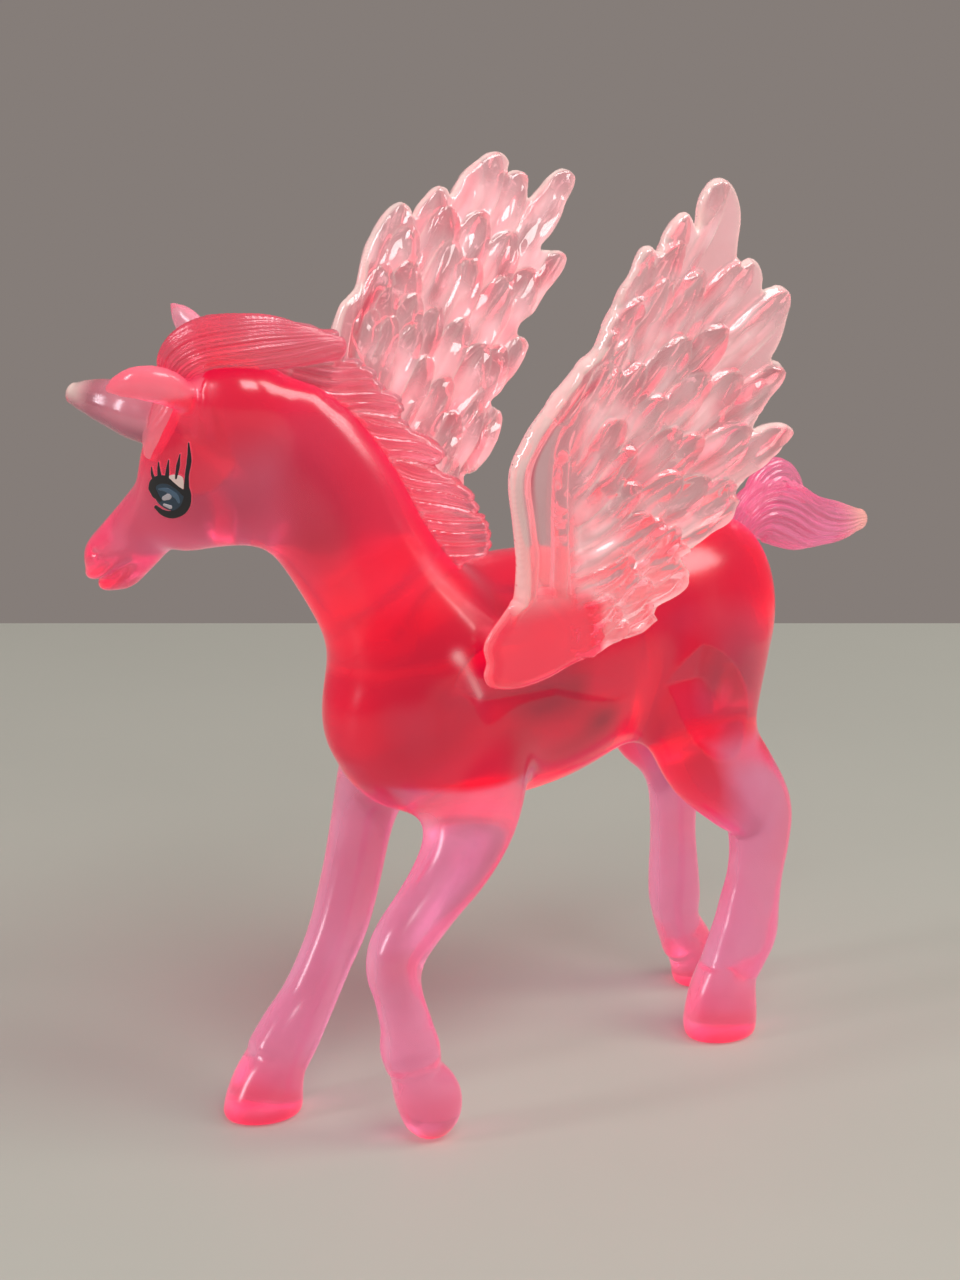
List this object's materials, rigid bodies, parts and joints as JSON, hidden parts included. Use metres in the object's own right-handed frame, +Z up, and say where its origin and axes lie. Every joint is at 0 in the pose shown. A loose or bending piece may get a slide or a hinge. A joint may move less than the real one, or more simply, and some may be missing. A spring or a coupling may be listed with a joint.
{
  "type": "toy winged unicorn",
  "caption": "Standing toy unicorn foal of see-through pink plastic, with its head turned, a stubby horn, toothed mane, curled tail and feathered wings that swivel.",
  "frame": {"origin": "on the ground below the middle of the figure's bounding box", "axes": "+Z up from the hooves, -Y the way the trunk faces, +X to the foal's left"},
  "size_m": [0.0468, 0.0852, 0.0912],
  "materials": {
    "body": "gloss",
    "mane": "gloss",
    "tail": "gloss",
    "horn": "gloss",
    "eye": "satin",
    "wing": "gloss"
  },
  "bodies": {
    "figure": {"body": "body", "mane": "mane", "tail": "tail", "horn": "horn", "eye_left": "eye", "eye_right": "eye"},
    "wing_left": {"wing_left": "wing"},
    "wing_right": {"wing_right": "wing"}
  },
  "joints": [
    {"name": "wing_left_swivel", "type": "hinge", "parent": "figure", "child": "wing_left", "pos_m": [0.01445, -0.01049, 0.0474], "axis": [0.9816, 0, -0.1908], "range_deg": [-15, 20]},
    {"name": "wing_right_swivel", "type": "hinge", "parent": "figure", "child": "wing_right", "pos_m": [-0.00555, -0.01049, 0.0474], "axis": [0.9816, 0, 0.1908], "range_deg": [-15, 20]}
  ]
}
